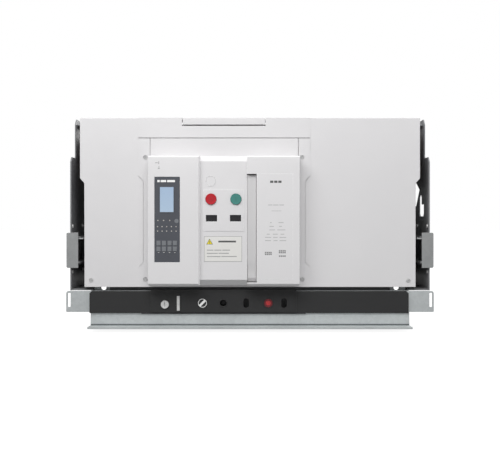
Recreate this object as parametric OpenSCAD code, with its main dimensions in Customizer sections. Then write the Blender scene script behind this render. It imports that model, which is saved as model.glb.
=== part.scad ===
// Withdrawable air circuit breaker: a six-module breaker on extension rails in its cradle.
// +Z up, the operating front faces -Y, origin at the middle of the footprint at floor level.

/* [Overall] */
// Width over the mounting feet
overall_w = 788; // [780:1:800]
// Depth from the front lip to the ends of the rear terminals
overall_d = 440; // [430:1:450]
// Height from the base plate to the top of the side walls
overall_h = 460; // [456:1:470]

/* [Poles] */
// Distance from one pole module to the next
pole_pitch = 115; // [113:0.5:116]
// Height of the upper (line) conductors
line_z = 330; // [326:1:334]
// Height of the lower (load) conductors
load_z = 190; // [188:1:194]
// Thickness of the copper conductors
bar_t = 20; // [16:1:20]
// Width of the copper conductors
bar_w = 76; // [60:1:80]

/* [Front] */
// Depth of the base plate's lip in front of the cover plane
lip_d = 42; // [40:1:44]
// How far the control fascia stands out of the front cover
fascia_d = 38; // [36:1:39]
// Diameter of the two push buttons
button_dia = 23; // [18:0.5:23]
// Width of the charging handle
handle_w = 19; // [12:0.5:19]

/* [Racking] */
// Diameter of the racking screw
screw_dia = 16; // [12:1:18]
// Diameter of the carriage rollers
roller_dia = 25.8; // [24:0.2:25.8]

/* [Hidden] */
$fn = 48;

// Planes from front to back
lip_y = -overall_d / 2;
cover_y = lip_y + lip_d;
fascia_y = cover_y - fascia_d;
centre_y = fascia_y + 10;
groove_y = fascia_y + 32;
cover_back_y = cover_y + 62;
case_front_y = -100;
case_split_y = -40;
case_back_y = 110;
rear_y = overall_d / 2;

// Cradle
sheet_t = 3;
wall_x = 386;
wall_front_y = cover_y + 6;
wall_back_y = 165;
wall_step_z = 373;
wall_step_y = cover_y + 60;
wall_foot_z = 86;
base_x = 341;
base_t = 4;
base_lift = 8;
floor_z = base_lift + base_t;
face_top_z = 86;
bar_top_z = 85.5;
bar_low_z = 38;
bar_y = cover_y - 3;
control_y = bar_y - 3;
control_z = 59.7;
cross_y = -150;

// Controls on the racking bar, from left to right
key_pos = [-181.6, 57.1];
tab_x = -152.9;
dial_x = -101.5;
crank_x = -57;
store_x = [-8.2, 72.7];
release_x = 39.1;

// Rails and rollers
rail_front_y = cover_y + 6;
rail_back_y = 155;
rail_top_z = 199;
rail_low_z = 145;
roller_z = rail_top_z + 13;
roller_y = [-90, 60];
axle_r = 4;

// Front cover and fascia
cover_top_x = 364;
cover_low_x = 354.5;
cover_top_z = 455.5;
cover_low_z = 94;
notch_z = [316, 327];
cover_t = 3;
fascia_x = [-214, 104];
fascia_z = [99, 372];
left_x = -106;
groove_x = [-6, 14];
groove_z = [105, 334];
panel_x = [-200.5, -147.5];
panel_z = [148.5, 327.5];
screen_x = [-189, -160.5];
screen_z = [253.5, 306];
button_x = [-82.4, -29.7];
button_z = 281;
window_x = [[-93.1, -69.4], [-42.3, -18.8]];
window_z = [233.8, 247.6];
plug_pos = [-83, 319];
plug_r = 10.3;
nose_x = [-144, 32];
nose_z = 441;
handle_pivot = [groove_y - 8, 118];
handle_top_z = 332.4;
foot_pocket_y = handle_pivot[0] + 13;

// Poles
pole_x = [for (i = [0:5]) (i - 2.5) * pole_pitch];
case_x = 350;
case_z = [110, 430];
cavity_w = pole_pitch - 8;
stab_tip_y = 145;
terminal_y = 148;
finger_y = [122, 161.5];
insulator_y = [121, 162];
shutter_t = 2.8;
shutter_y = [111.6, 115.6];

// Contact linkage, as [y, z] in the closed state
shaft_pos = [-60, 232];
crank_pin = [-47, 254.5];
arm_pivot = [-5, load_z];
arm_pin = [-18, load_z + 72];
arm_open = 22;
shaft_open = 60;

// Mechanism
drive_pos = [-135, 200];
frame_x = [-135, 25];

module block(a, b) {
    translate(a) cube(b - a);
}

// A slab standing on the XZ plane: outline points are [x, z]
module slab(y0, y1) {
    translate([0, y1, 0]) rotate([90, 0, 0]) linear_extrude(y1 - y0) children();
}

// A profile swept along X: outline points are [y, z]
module along_x(x0, x1) {
    translate([x0, 0, 0]) rotate([90, 0, 90]) linear_extrude(x1 - x0) children();
}

module rod_x(x0, x1, y, z, r) {
    translate([x0, y, z]) rotate([0, 90, 0]) cylinder(h = x1 - x0, r = r);
}

module rod_y(x, z, y0, y1, r) {
    translate([x, y1, z]) rotate([90, 0, 0]) cylinder(h = y1 - y0, r = r);
}

module turn_x(at, angle) {
    translate([0, at[0], at[1]]) rotate([angle, 0, 0]) translate([0, -at[0], -at[1]]) children();
}

// A strap in the plane of its profile: two round ends joined by their tangents
module strap(a, ra, b, rb) {
    way = b - a;
    lean = acos((ra - rb) / norm(way));
    turn = atan2(way[1], way[0]);
    up = [cos(turn + lean), sin(turn + lean)];
    down = [cos(turn - lean), sin(turn - lean)];
    translate(a) circle(r = ra);
    translate(b) circle(r = rb);
    polygon([a + ra * up, b + rb * up, b + rb * down, a + ra * down]);
}

module oval_y(x, z, w, h, y0, y1) {
    slab(y0, y1) hull() for (s = [-1, 1]) translate([x, z + s * (h - w) / 2]) circle(d = w);
}

// ---------------------------------------------------------------- cradle

module wall_outline() {
    polygon([
        [wall_front_y, wall_foot_z], [wall_front_y, wall_step_z - 10],
        [wall_front_y + 10, wall_step_z], [wall_step_y - 6, wall_step_z],
        [wall_step_y, wall_step_z + 6], [wall_step_y, overall_h - 12],
        [wall_step_y + 12, overall_h], [wall_back_y, overall_h], [wall_back_y, wall_foot_z]
    ]);
}

module side_wall(with_windows) {
    difference() {
        union() {
            along_x(wall_x - sheet_t, wall_x) wall_outline();
            block([base_x - sheet_t, wall_front_y + 4, wall_foot_z],
                  [wall_x, wall_back_y, wall_foot_z + sheet_t]);
            block([wall_x - 30, wall_back_y - sheet_t, wall_foot_z],
                  [wall_x, wall_back_y, overall_h]);
        }
        if (with_windows) {
            along_x(wall_x - 10, wall_x + 10)
                polygon([[-117, 252], [-110, 246], [-66, 246], [-60, 252], [-60, 287],
                         [-66, 293], [-85, 293], [-91, 287], [-91, 272], [-117, 272]]);
            along_x(wall_x - 10, wall_x + 10)
                polygon([[-64, 306], [-22, 323], [20, 323], [20, 270], [-22, 270]]);
        }
    }
}

module side_wall_left() {
    color("#2b2d30") mirror([1, 0, 0]) side_wall(false);
}

module side_wall_right() {
    color("#2b2d30") side_wall(true);
}

base_hole_x = 290;
base_hole_y = [-120, 100];
base_hole_r = 5.5;

module base_plate() {
    color("#b4b9bb") difference() {
        union() {
            block([-base_x, lip_y, base_lift], [base_x, wall_back_y, floor_z]);
            for (x = [-base_hole_x, 0, base_hole_x])
                block([x - 20, lip_y + 75, 0], [x + 20, wall_back_y - 8, base_lift]);
            block([-base_x, cover_y, floor_z], [base_x, cover_y + sheet_t, face_top_z]);
            for (s = [-1, 1]) {
                x = s > 0 ? base_x - sheet_t : -base_x;
                block([x, cover_y + sheet_t, floor_z], [x + sheet_t, wall_back_y, face_top_z]);
            }
        }
        for (x = [-base_hole_x, base_hole_x], y = base_hole_y)
            translate([x, y, -1]) cylinder(h = floor_z + 2, r = base_hole_r);
        block([-225, cover_y - 1, bar_low_z + 4], [112, cover_y + sheet_t + 1, face_top_z - 4]);
        block([-base_x - 1, -62, 68], [base_x + 1, 52, face_top_z + 1]);
    }
}

module front_cross_plate() {
    color("#26282a") difference() {
        block([-base_x + sheet_t, cross_y, floor_z], [base_x - sheet_t, cross_y + sheet_t, 93.2]);
        for (x = [-317, 317]) rod_y(x, 91, cross_y - 1, cross_y + sheet_t + 1, 5.7);
        rod_y(crank_x, control_z, cross_y - 1, cross_y + sheet_t + 1, screw_dia / 2 + 0.06);
    }
}

module racking_bar() {
    color("#39393a") difference() {
        union() {
            slab(bar_y, cover_y)
                polygon([[-base_x - 2, bar_low_z], [-base_x - 2, bar_top_z - 5],
                         [-base_x + 3, bar_top_z], [base_x - 7, bar_top_z],
                         [base_x - 2, bar_top_z - 5], [base_x - 2, bar_low_z]]);
            block([-232, bar_y, bar_low_z - 1.5], [119, cover_y, bar_low_z]);
            block([-212, control_y, bar_low_z + 2], [99, bar_y, bar_top_z + 2.5]);
            block([-222, cover_y, bar_low_z + 6], [109, cover_y + 14, face_top_z - 6]);
        }
        block([-216, cover_y + 1, bar_low_z + 9], [103, cover_y + 20, face_top_z - 9]);
        rod_y(key_pos[0], key_pos[1], control_y - 1, cover_y + 2, 8.56);
        block([tab_x - 3.4, control_y - 1, control_z - 16.3],
              [tab_x + 3.4, cover_y + 15, control_z + 15.7]);
        rod_y(dial_x, control_z, control_y - 1, cover_y + 2, 10.38);
        rod_y(crank_x, control_z, control_y - 1, cover_y + 2, 7.2);
        for (x = store_x) oval_y(x, control_z, 12, 20.7, control_y - 1, cover_y + 2);
        rod_y(release_x, control_z, control_y - 1, control_y + 2.5, 9.6);
        rod_y(release_x, control_z, control_y, cover_y + 2, 5.5);
    }
}

module foot() {
    color("#b4b9bb") difference() {
        union() {
            block([base_x, cover_y + 2, 40], [overall_w / 2, cover_y + 2 + sheet_t, bar_top_z]);
            block([base_x, cover_y + 2 + sheet_t, 44], [base_x + sheet_t, -60, 82]);
        }
        block([384.5, cover_y, 51.2], [390, cover_y + 8, 80.8]);
    }
}

module foot_left() {
    mirror([1, 0, 0]) foot();
}

module foot_right() {
    foot();
}

guide_z = [142.1, 201.9];

module rail_guide() {
    color("#303236") {
        t = 2.5;
        inner = wall_x - sheet_t;
        block([inner - t, -166, guide_z[0]], [inner, 158, guide_z[1]]);
        block([inner - 17, -166, guide_z[0]], [inner, 158, guide_z[0] + t]);
        block([inner - 17, -166, guide_z[1] - t], [inner, 158, guide_z[1]]);
    }
}

module rail_guide_left() {
    mirror([1, 0, 0]) rail_guide();
}

module rail_guide_right() {
    rail_guide();
}

module wall_rivets() {
    color("#8f9497") for (s = [-1, 1], y = [-162, -41, 130], z = [126, 224]) {
        x = s > 0 ? wall_x - sheet_t - 2 : -wall_x + sheet_t;
        rod_x(x, x + 2, y, z, 4);
    }
}

module rear_insulator() {
    color("#4a3a34") difference() {
        block([-378, insulator_y[0], 105], [378, insulator_y[1], 445]);
        for (s = [-1, 1]) translate([s * 368, 0, 0])
            block([-13, insulator_y[0] - 1, 136], [13, insulator_y[1] + 1, 208]);
        for (x = pole_x, z = [line_z, load_z])
            block([x - 46, insulator_y[0] - 1, z - 22], [x + 46, insulator_y[1] + 1, z + 22]);
    }
}

finger_pitch = 15;

module contact_fingers() {
    color("#b87333") for (x = pole_x, z = [line_z, load_z], i = [-2:2], s = [-1, 1]) {
        low = s > 0 ? z + bar_t / 2 + 0.3 : z - bar_t / 2 - 6.3;
        block([x + i * finger_pitch - 6, finger_y[0], low],
              [x + i * finger_pitch + 6, finger_y[1], low + 6]);
    }
}

module finger_springs() {
    color("#c8ccce") for (x = pole_x, z = [line_z, load_z], s = [-1, 1]) {
        low = s > 0 ? z + bar_t / 2 + 6.5 : z - bar_t / 2 - 8;
        block([x - 38, 138, low], [x + 38, 150, low + 1.5]);
    }
}

terminal_hole_x = 22;
terminal_hole_y = [179, 205];

module terminals(z) {
    for (x = pole_x) difference() {
        union() {
            block([x - bar_w / 2, terminal_y, z - bar_t / 2],
                  [x + bar_w / 2, rear_y, z + bar_t / 2]);
            block([x - 44, insulator_y[1], z - 16], [x + 44, insulator_y[1] + 6, z + 16]);
        }
        for (dx = [-terminal_hole_x, terminal_hole_x], y = terminal_hole_y)
            translate([x + dx, y, z - 30]) cylinder(h = 60, r = 6.5);
    }
}

module line_terminals() {
    color("#d0d2d3") terminals(line_z);
}

module load_terminals() {
    color("#d0d2d3") terminals(load_z);
}

module top_bridge() {
    color("#2b2d30") block([-wall_x + sheet_t, -105, 446], [wall_x - sheet_t, -45, 449]);
}

module terminal_block() {
    color("#dcdadb") {
        block([nose_x[0], cover_y - 2, nose_z], [nose_x[1], -106, cover_top_z]);
        block([nose_x[0], -106.5, 449], [nose_x[1], -50, overall_h - 1.5]);
    }
}

module screw_bearing() {
    color("#8f9497") difference() {
        block([crank_x - 18, 60, floor_z], [crank_x + 18, 74, 78]);
        rod_y(crank_x, control_z, 59, 75, 6.06);
    }
}

// ---------------------------------------------------------------- racking gear

module racking_screw() {
    color("#9aa0a3") {
        rod_y(crank_x, control_z, -158, 59.6, screw_dia / 2);
        rod_y(crank_x, control_z, 59.6, 76, 6);
        translate([crank_x, -157.5, control_z]) rotate([90, 30, 0]) cylinder(h = 10.5, r = 5.8, $fn = 6);
        for (y = [-145, 54]) rod_y(crank_x, control_z, y, y + 4, screw_dia / 2 + 3);
    }
}

lug_x = [-110, -4];

module racking_nut() {
    color("#8f9497") {
        difference() {
            block([crank_x - 20, -20, 44], [crank_x + 20, 12, 76]);
            rod_y(crank_x, control_z, -21, 13, screw_dia / 2 + 0.06);
        }
        block([lug_x[0] - 8, -20, 76], [lug_x[1] + 8, 12, 86]);
        for (x = lug_x) block([x - 6, -20, 86], [x + 6, -8, 105]);
    }
}

module position_dial() {
    color("#e8e8e8") {
        rod_y(dial_x, control_z, control_y + 0.8, cover_y + 4, 10.3);
        rod_y(dial_x, control_z, cover_y + 3, cross_y - 4, 3);
    }
}

module release_button() {
    color("#c84450") rod_y(release_x, control_z, control_y + 0.5, cover_y + 12, 5.2);
}

module padlock_tab() {
    color("#c3c6c8") difference() {
        block([tab_x - 3, control_y - 2, control_z - 15.9], [tab_x + 3, cross_y - 3, control_z + 15.3]);
        rod_x(tab_x - 5, tab_x + 5, cross_y - 14, control_z, 4);
    }
}

module key_cylinder() {
    color("#c3c6c8") {
        rod_y(key_pos[0], key_pos[1], control_y - 3, cover_y + 16, 8.5);
    }
}

shutter_window = [bar_w + 8, 44];

module shutter(front_y, low_z, window_low) {
    color("#d8c9a0") difference() {
        block([-352, front_y, low_z], [352, front_y + shutter_t, low_z + 120]);
        for (x = pole_x)
            block([x - shutter_window[0] / 2, front_y - 1, window_low],
                  [x + shutter_window[0] / 2, front_y + shutter_t + 1, window_low + shutter_window[1]]);
    }
}

module upper_shutter() {
    shutter(shutter_y[0], line_z - 75, line_z - 24);
}

module lower_shutter() {
    shutter(shutter_y[1], load_z - 45, load_z - 20);
}

// ---------------------------------------------------------------- extension rails

module rail() {
    color("#b4b9bb") {
        web = wall_x - sheet_t - 7;
        block([web, rail_front_y - 2, rail_low_z], [web + 3, rail_back_y, rail_top_z]);
        block([358, rail_front_y - 2, rail_top_z - 3], [web + 3, rail_back_y, rail_top_z]);
        block([366, rail_front_y - 2, rail_low_z], [web + 3, rail_back_y, rail_low_z + 3]);
        block([368, cover_y + 1, 134.5], [393, rail_front_y - 2, 210]);
    }
}

module rail_left() {
    mirror([1, 0, 0]) rail();
}

module rail_right() {
    rail();
}

// ---------------------------------------------------------------- breaker covers

module cover_outline(inset) {
    polygon([
        [-cover_top_x + inset, cover_top_z - inset], [-cover_top_x + inset, notch_z[1]],
        [-cover_low_x + inset, notch_z[0]], [-cover_low_x + inset, cover_low_z + inset],
        [cover_low_x - inset, cover_low_z + inset], [cover_low_x - inset, notch_z[0]],
        [cover_top_x - inset, notch_z[1]], [cover_top_x - inset, cover_top_z - inset]
    ]);
}

// Shallow raised field round the fascia, waisted at mid height
module raised_field() {
    polygon([[-238.5, cover_top_z], [-238.5, 331], [-228, 320], [-228, 147], [-238.5, 136],
             [-238.5, cover_low_z], [128.5, cover_low_z], [128.5, 136], [118, 147],
             [118, 320], [128.5, 331], [128.5, cover_top_z]]);
}

fascia_screw_x = [-223.5, 111.5];
fascia_screw_z = [110, 371];
corner_screw = [[-340, 108], [339, 107]];
field_t = 1.2;

module front_cover() {
    color("#e6e4e5") difference() {
        union() {
            slab(cover_y, cover_back_y) cover_outline(0);
            slab(cover_y - field_t, cover_y) raised_field();
        }
        slab(cover_y + cover_t, cover_back_y + 1) cover_outline(cover_t);
        block([fascia_x[0] + 6, cover_y - 5, fascia_z[0] + 6], [fascia_x[1] - 6, cover_y + 9, fascia_z[1] - 6]);
        block([nose_x[0] - 1.5, cover_y - 5, nose_z - 2.4], [nose_x[1] + 1.5, cover_back_y + 1, cover_top_z + 1]);
        block([-238.5, cover_y - 5, 411.8], [128.5, cover_y - 0.2, 413.4]);
        for (x = [-213.5, 103.5]) block([x - 0.8, cover_y - 5, fascia_z[1]], [x + 0.8, cover_y - 0.2, 412]);
        for (x = fascia_screw_x, z = fascia_screw_z) rod_y(x, z, cover_y - 5, cover_y + 1.8, 5.2);
        for (p = corner_screw) rod_y(p[0], p[1], cover_y - 5, cover_y + 1.8, 4.6);
    }
}

// Side sections: a long sloping band at the top and a small chamfer at the foot
module tall_profile(inset) {
    polygon([[cover_y - field_t, fascia_z[0] + inset], [fascia_y + 4 + inset, fascia_z[0] + inset],
             [fascia_y + inset, fascia_z[0] + 4], [fascia_y + inset, 338],
             [fascia_y + 1.2 + inset, fascia_z[1] - 2.6 - inset], [fascia_y + 3.8 + inset, fascia_z[1] - inset],
             [cover_y - field_t, fascia_z[1] - inset]]);
}

// Middle section: set back, with a chamfer at the top and at the foot
module low_profile(inset) {
    polygon([[cover_y - field_t, fascia_z[0] + inset], [centre_y + 12 + inset, fascia_z[0] + inset],
             [centre_y + inset, fascia_z[0] + 12], [centre_y + inset, fascia_z[1] - 11],
             [centre_y + 12 + inset, fascia_z[1] - inset], [cover_y - field_t, fascia_z[1] - inset]]);
}

module foot_pocket(skin) {
    block([groove_x[0] - skin, groove_y - 1, groove_z[0] + 3.4 - skin],
          [groove_x[1] + skin, foot_pocket_y + skin, groove_z[0] + 28 + skin]);
}
module fascia() {
    color("#e9e8ea") difference() {
        union() {
            along_x(fascia_x[0], left_x) tall_profile(0);
            along_x(left_x, groove_x[0]) low_profile(0);
            along_x(groove_x[0], fascia_x[1]) tall_profile(0);
            foot_pocket(cover_t);
        }
        difference() {
            union() {
                along_x(fascia_x[0] + cover_t, left_x - cover_t) tall_profile(cover_t);
                along_x(left_x - cover_t - 1, groove_x[0] + cover_t) low_profile(cover_t);
                along_x(groove_x[0] + cover_t, fascia_x[1] - cover_t) tall_profile(cover_t);
            }
            block([groove_x[0] - cover_t, fascia_y - 1, groove_z[0] - cover_t],
                  [groove_x[1] + cover_t, groove_y + cover_t, groove_z[1] + cover_t]);
            foot_pocket(cover_t);
        }
        block([groove_x[0], fascia_y - 1, groove_z[0]], [groove_x[1], groove_y, groove_z[1]]);
        foot_pocket(0);
        translate([0, 0, fascia_z[0] - 1]) linear_extrude(height = fascia_z[1] - fascia_z[0] + 2)
            polygon([[left_x - 3.6, fascia_y - 0.1], [left_x + 0.1, fascia_y - 0.1], [left_x + 0.1, fascia_y + 3.2]]);
        block([panel_x[0] - 0.3, fascia_y - 1, panel_z[0] - 0.3], [panel_x[1] + 0.3, fascia_y + 8, panel_z[1] + 0.3]);
        for (x = button_x) rod_y(x, button_z, centre_y - 1, centre_y + 8, button_dia / 2 + 0.4);
        for (w = window_x) block([w[0], centre_y - 1, window_z[0]], [w[1], centre_y + 8, window_z[1]]);
        rod_y(plug_pos[0], plug_pos[1], centre_y - 1, centre_y + 8, plug_r + 0.2);
        rod_x(groove_x[0] - 5, groove_x[1] + 5, handle_pivot[0], handle_pivot[1], axle_r + 0.05);
    }
}

module screw_head(x, y, z, r) {
    difference() {
        rod_y(x, z, y, y + 2.4, r);
        block([x - r * 0.7, y - 1, z - 0.5], [x + r * 0.7, y + 1.2, z + 0.5]);
        block([x - 0.5, y - 1, z - r * 0.7], [x + 0.5, y + 1.2, z + r * 0.7]);
    }
}

module cover_screws() {
    color("#a9acae") {
        for (x = fascia_screw_x, z = fascia_screw_z) screw_head(x, cover_y - 0.6, z, 4.4);
        for (p = corner_screw) screw_head(p[0], cover_y - 0.6, p[1], 4);
    }
}

// ---------------------------------------------------------------- breaker poles

module front_case() {
    color("#5a4742") difference() {
        block([-case_x, case_front_y, case_z[0]], [case_x, case_split_y, case_z[1]]);
        for (x = pole_x)
            block([x - cavity_w / 2, case_front_y + 6, case_z[0] + 6],
                  [x + cavity_w / 2, case_split_y + 1, case_z[1] - 6]);
        rod_x(-342, 342, shaft_pos[0], shaft_pos[1], 12.06);
        block([-36, case_front_y - 1, 205], [-19, case_front_y + 7, 290]);
    }
}

module rear_case() {
    color("#5a4742") difference() {
        block([-case_x, case_split_y, case_z[0]], [case_x, case_back_y, case_z[1]]);
        for (x = pole_x) {
            block([x - cavity_w / 2, case_split_y - 1, case_z[0] + 6],
                  [x + cavity_w / 2, case_back_y - 8, case_z[1] - 6]);
            for (z = [line_z, load_z])
                block([x - bar_w / 2 - 0.5, case_back_y - 9, z - bar_t / 2 - 0.5],
                      [x + bar_w / 2 + 0.5, case_back_y + 1, z + bar_t / 2 + 0.5]);
            for (y = [-15, 15, 45]) block([x - 34, y, case_z[1] - 7], [x + 34, y + 12, case_z[1] + 1]);
        }
    }
}

module carriage_plate() {
    color("#b4b9bb") {
        block([case_x + 1, -108, 114], [case_x + 4, 104, 320]);
        for (y = roller_y) {
            rod_x(case_x + 4, case_x + 15.5, y, roller_z, axle_r);
            rod_x(case_x + 15, case_x + 16, y, roller_z, axle_r + 2);
        }
    }
}

module carriage_plate_left() {
    mirror([1, 0, 0]) carriage_plate();
}

module carriage_plate_right() {
    carriage_plate();
}

module roller_pair(y) {
    color("#3a3b3d") for (s = [-1, 1]) difference() {
        x = s > 0 ? case_x + 7.2 : -case_x - 14.8;
        rod_x(x, x + 7.6, y, roller_z, roller_dia / 2);
        rod_x(x - 1, x + 9, y, roller_z, axle_r + 0.06);
    }
}

module front_rollers() {
    roller_pair(roller_y[0]);
}

module rear_rollers() {
    roller_pair(roller_y[1]);
}

module bottom_bracket() {
    color("#b4b9bb") {
        block([lug_x[0] - 20, -70, case_z[0] - 3], [lug_x[1] + 20, 20, case_z[0]]);
        for (x = lug_x) block([x - 6, -30, 101.5], [x + 6, -21, case_z[0]]);
    }
}

module arc_chutes() {
    color("#e2ddd0") for (x = pole_x) difference() {
        block([x - 48, -32, 350], [x + 48, 92, 422]);
        for (i = [0:8]) block([x - 42, -26 + i * 13, 349], [x + 42, -26 + i * 13 + 8, 414]);
    }
}

module line_stabs() {
    color("#b87333") for (x = pole_x) {
        block([x - bar_w / 2, 34, line_z - bar_t / 2], [x + bar_w / 2, stab_tip_y, line_z + bar_t / 2]);
        block([x - 28, 30, line_z - bar_t / 2], [x + 28, 34, line_z + bar_t / 2]);
    }
}

module load_stabs() {
    color("#b87333") for (x = pole_x) {
        block([x - bar_w / 2, 24, load_z - bar_t / 2], [x + bar_w / 2, stab_tip_y, load_z + bar_t / 2]);
        block([x - 34, 4, load_z - bar_t / 2], [x + 34, 24, load_z + bar_t / 2]);
    }
}

module current_transformers() {
    color("#26282a") for (x = pole_x) difference() {
        block([x - 50, 58, load_z - 32], [x + 50, 94, load_z + 32]);
        block([x - bar_w / 2 - 1, 57, load_z - bar_t / 2 - 1], [x + bar_w / 2 + 1, 95, load_z + bar_t / 2 + 1]);
    }
}

// ---------------------------------------------------------------- mechanism and trip unit

module mechanism_frame() {
    color("#b4b9bb") {
        for (x = frame_x) difference() {
            block([x, -166, 112], [x + 3, case_front_y - 2, 360]);
            rod_x(x - 1, x + 4, drive_pos[0], drive_pos[1], 9.06);
        }
        for (p = [[-156, 122], [-112, 122], [-156, 345], [-112, 345]])
            rod_x(frame_x[0] + 3, frame_x[1], p[0], p[1], 4);
    }
}

module motor_operator() {
    color("#3a3b3d") {
        rod_x(-128, -78, -134, 142, 17);
        block([-78, -156, 128], [-62, -112, 160]);
    }
}

module trip_coils() {
    color("#4b4f52") for (x = button_x) {
        block([x - 14, -150, button_z - 16], [x + 14, -112, button_z + 16]);
        rod_y(x, button_z, -164, -150, 4);
    }
}

module trip_controller() {
    color("#4c4f54") block([-203, fascia_y + cover_t + 0.5, 146], [-145, -128, 330]);
}

module controller_panel() {
    color("#565a61") block([panel_x[0], fascia_y - 0.4, panel_z[0]], [panel_x[1], fascia_y + cover_t + 0.5, panel_z[1]]);
}

module controller_screen() {
    color("#a5c4e6") block([screen_x[0], fascia_y - 0.9, screen_z[0]], [screen_x[1], fascia_y - 0.4, screen_z[1]]);
}

module lock_plug() {
    color("#e9e8ea") rod_y(plug_pos[0], plug_pos[1], centre_y - 0.6, centre_y + 6, plug_r);
}

module indicator_windows() {
    color("#232426") for (w = window_x)
        block([w[0] + 0.1, centre_y + 0.6, window_z[0] + 0.1], [w[1] - 0.1, centre_y + 2.4, window_z[1] - 0.1]);
}

spring_r = 15;
spring_wire_r = 2.6;
spring_turns = 7;
spring_rings = 78;
spring_pos = [4.5, -135];
spring_z = [240, 328];

function spring_centre(i) =
    let (a = 360 * spring_turns * i / spring_rings)
    [spring_pos[0] + spring_r * cos(a), spring_pos[1] + spring_r * sin(a),
     spring_z[0] + (spring_z[1] - spring_z[0]) * i / spring_rings];

function spring_ring(i) =
    let (a = 360 * spring_turns * i / spring_rings)
    [for (k = [0:7]) let (b = 45 * k)
        spring_centre(i) + spring_wire_r * [cos(b) * cos(a), cos(b) * sin(a), sin(b)]];

module closing_spring() {
    color("#a9acae") {
        points = [for (i = [0:spring_rings]) each spring_ring(i)];
        sides = [for (i = [0:spring_rings - 1], k = [0:7])
            [i * 8 + k, i * 8 + (k + 1) % 8, (i + 1) * 8 + (k + 1) % 8, (i + 1) * 8 + k]];
        ends = [[for (k = [0:7]) 7 - k], [for (k = [0:7]) spring_rings * 8 + k]];
        polyhedron(points, concat(sides, ends), convexity = 10);
    }
}

module secondary_plug() {
    color("#3a3b3d") block([-130, -95, case_z[1]], [20, -50, case_z[1] + 8.5]);
}

module handle_pin() {
    color("#a9acae") rod_x(groove_x[0] - 4.5, groove_x[1] + 4.5, handle_pivot[0], handle_pivot[1], axle_r);
}

module charging_handle() {
    x0 = (groove_x[0] + groove_x[1] - handle_w) / 2;
    color("#d2cfd1") difference() {
        along_x(x0, x0 + handle_w)
            polygon([[handle_pivot[0] - 12, handle_pivot[1] - 3], [handle_pivot[0] - 7.5, handle_pivot[1] - 9.8],
                     [handle_pivot[0] - 3, handle_pivot[1] - 12], [handle_pivot[0] + 3, handle_pivot[1] - 12],
                     [handle_pivot[0] + 8, handle_pivot[1] - 9.4], [handle_pivot[0] + 11.5, handle_pivot[1] - 4],
                     [handle_pivot[0] + 12, handle_pivot[1] + 2], [handle_pivot[0] + 8, handle_pivot[1] + 9],
                     [handle_pivot[0] + 1, handle_pivot[1] + 22], [handle_pivot[0] + 1, handle_top_z - 4],
                     [handle_pivot[0] - 3, handle_top_z], [handle_pivot[0] - 15, handle_top_z],
                     [handle_pivot[0] - 17, handle_top_z - 2.4], [handle_pivot[0] - 17, handle_pivot[1] + 34],
                     [handle_pivot[0] - 12, handle_pivot[1] + 24]]);
        rod_x(x0 - 1, x0 + handle_w + 1, handle_pivot[0], handle_pivot[1], axle_r + 0.06);
    }
}

ratchet_teeth = 20;

module charging_shaft() {
    color("#9aa0a3") {
        rod_x(frame_x[0] - 3, frame_x[1] + 6, drive_pos[0], drive_pos[1], 9);
        along_x(8, 16) translate(drive_pos)
            polygon([for (i = [0:ratchet_teeth - 1], k = [0, 1])
                let (a = 360 * (i + k * 0.12) / ratchet_teeth, r = k == 0 ? 26 : 30) r * [cos(a), sin(a)]]);
        along_x(-54, -42) translate(drive_pos)
            polygon([for (i = [0:35]) let (a = 10 * i, r = 16 + 10 * a / 360) r * [cos(a), sin(a)]]);
    }
}

module push_button(x) {
    rod_y(x, button_z, centre_y - 3.5, centre_y + 12, button_dia / 2);
    rod_y(x, button_z, centre_y + 12, -172, 4);
}

module on_button() {
    color("#3f9483") push_button(button_x[1]);
}

module off_button() {
    color("#c5333b") push_button(button_x[0]);
}

flag_pos = [centre_y + 14, (window_z[0] + window_z[1]) / 2];

module state_flag() {
    color("#2b2d30") rod_x(window_x[1][0] + 1, window_x[1][1] - 1, flag_pos[0], flag_pos[1], 10);
}

module main_shaft() {
    color("#8f9497") turn_x(shaft_pos, shaft_open) {
        rod_x(-340, 340, shaft_pos[0], shaft_pos[1], 12);
        for (x = pole_x) {
            along_x(x - 5, x + 5) strap(shaft_pos, 16, crank_pin, 8);
            rod_x(x - 14, x + 14, crank_pin[0], crank_pin[1], 4);
        }
    }
}

module contact_arm(x) {
    along_x(x - 28, x + 28)
        polygon([[arm_pivot[0] - 9, arm_pivot[1] - 8], [arm_pivot[0] + 6, arm_pivot[1] - 8],
                 [arm_pivot[0] + 8, arm_pivot[1] + 20], [22, line_z - 14], [29.5, line_z - 8],
                 [29.5, line_z + 8], [16, line_z + 10], [6, line_z - 14], [-8, arm_pivot[1] + 30]]);
    for (s = [-1, 1]) along_x(x + s * 18 - 3, x + s * 18 + 3)
        strap(arm_pin, 8, arm_pivot + [4, 70], 6);
    rod_x(x - 18, x + 18, arm_pin[0], arm_pin[1], 4);
    rod_x(x - 33, x + 33, arm_pivot[0], arm_pivot[1], 4);
}

module moving_contacts() {
    color("#b87333") turn_x(arm_pivot, arm_open) for (x = pole_x) contact_arm(x);
}

side_wall_left();
side_wall_right();
base_plate();
front_cross_plate();
racking_bar();
foot_left();
foot_right();
rail_guide_left();
rail_guide_right();
wall_rivets();
rear_insulator();
contact_fingers();
finger_springs();
line_terminals();
load_terminals();
top_bridge();
terminal_block();
screw_bearing();
racking_screw();
racking_nut();
position_dial();
release_button();
padlock_tab();
key_cylinder();
upper_shutter();
lower_shutter();
rail_left();
rail_right();
front_cover();
fascia();
cover_screws();
front_case();
rear_case();
carriage_plate_left();
carriage_plate_right();
front_rollers();
rear_rollers();
bottom_bracket();
arc_chutes();
line_stabs();
load_stabs();
current_transformers();
mechanism_frame();
motor_operator();
trip_coils();
trip_controller();
controller_panel();
controller_screen();
lock_plug();
indicator_windows();
closing_spring();
secondary_plug();
handle_pin();
charging_handle();
charging_shaft();
on_button();
off_button();
state_flag();
main_shaft();
moving_contacts();
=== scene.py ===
import math

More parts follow.
